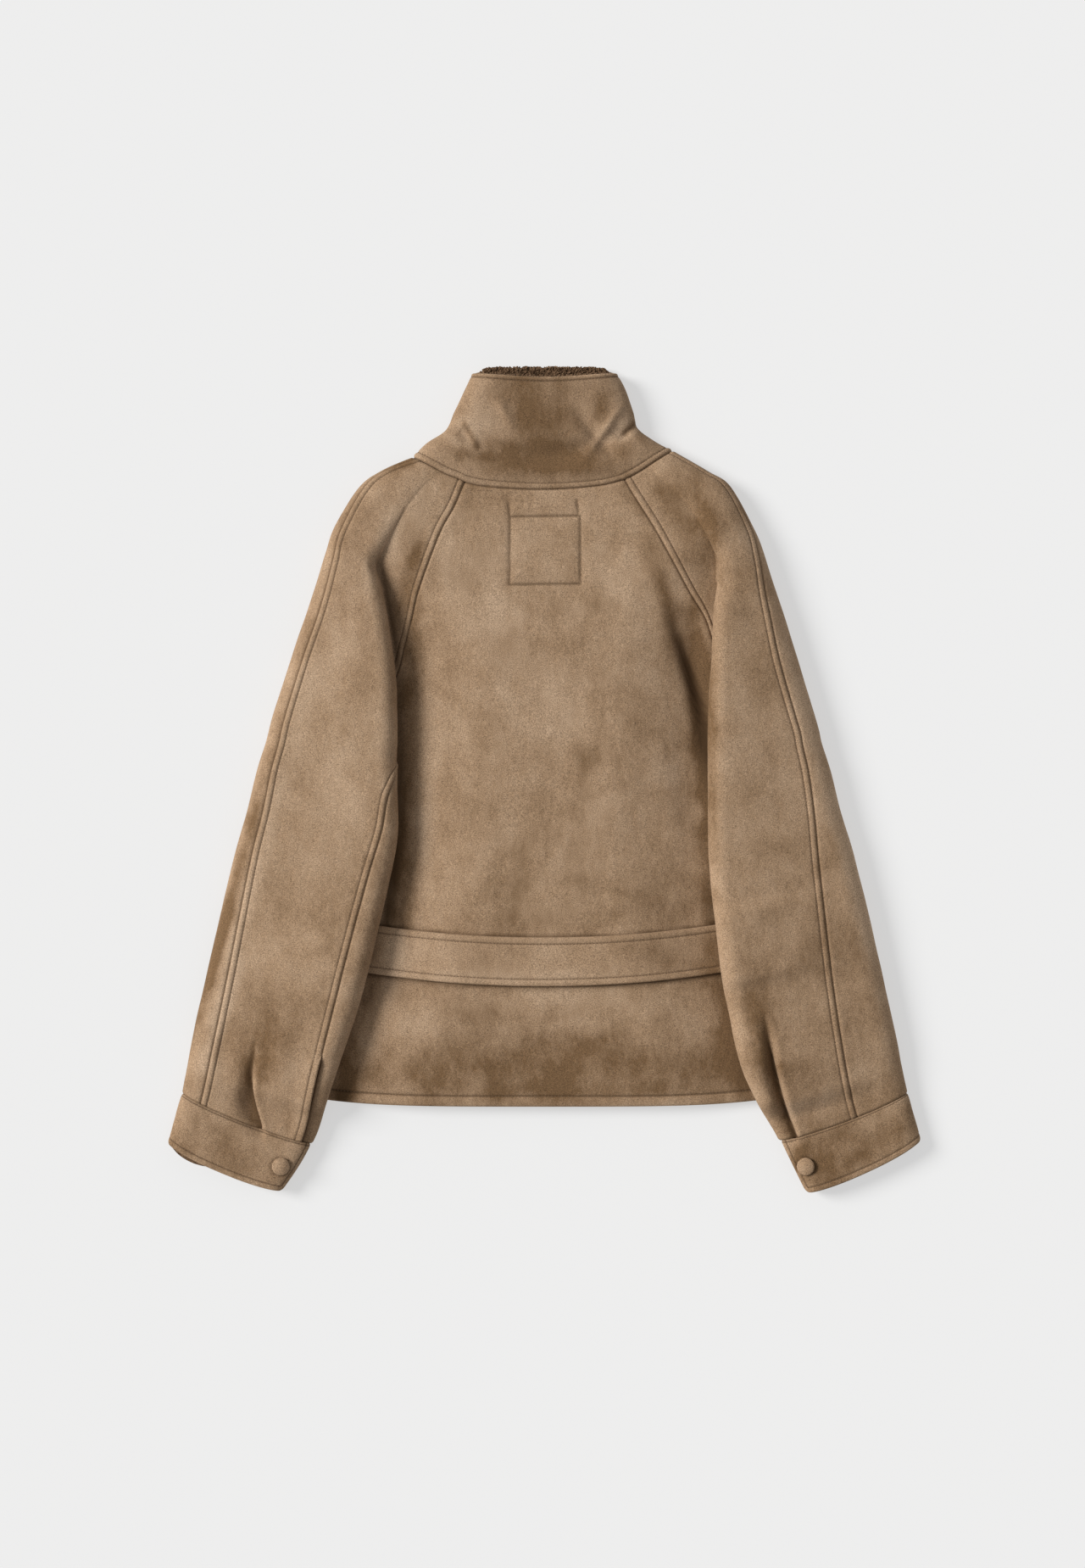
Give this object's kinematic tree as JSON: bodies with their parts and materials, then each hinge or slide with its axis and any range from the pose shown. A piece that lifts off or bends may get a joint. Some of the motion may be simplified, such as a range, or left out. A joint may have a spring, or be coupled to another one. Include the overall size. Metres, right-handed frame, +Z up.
{
  "type": "jacket",
  "caption": "Short suede raglan jacket with a stand collar, half belt and buttoned cuffs, laid flat with its back up and its sleeves folded down.",
  "frame": {"origin": "middle of the jacket's box on the surface it rests on", "axes": "+X to the wearer's right, +Y from the hem to the collar, +Z up, away from the surface"},
  "size_m": [0.757, 0.8298, 0.0461],
  "materials": {
    "suede": "napped suede, matt",
    "suede_belt": "napped suede, matt",
    "pile": "short curled pile",
    "covered_button": "suede-covered dome, matt"
  },
  "bodies": {
    "root": {"back": "suede", "front_left": "suede", "front_right": "suede", "sleeve_back_left": "suede", "sleeve_back_right": "suede", "sleeve_front_left": "suede", "sleeve_front_right": "suede", "collar": "suede", "collar_lining": "pile", "belt": "suede_belt", "cuff_left": "suede", "cuff_right": "suede", "button_left": "covered_button", "button_right": "covered_button"}
  },
  "joints": []
}
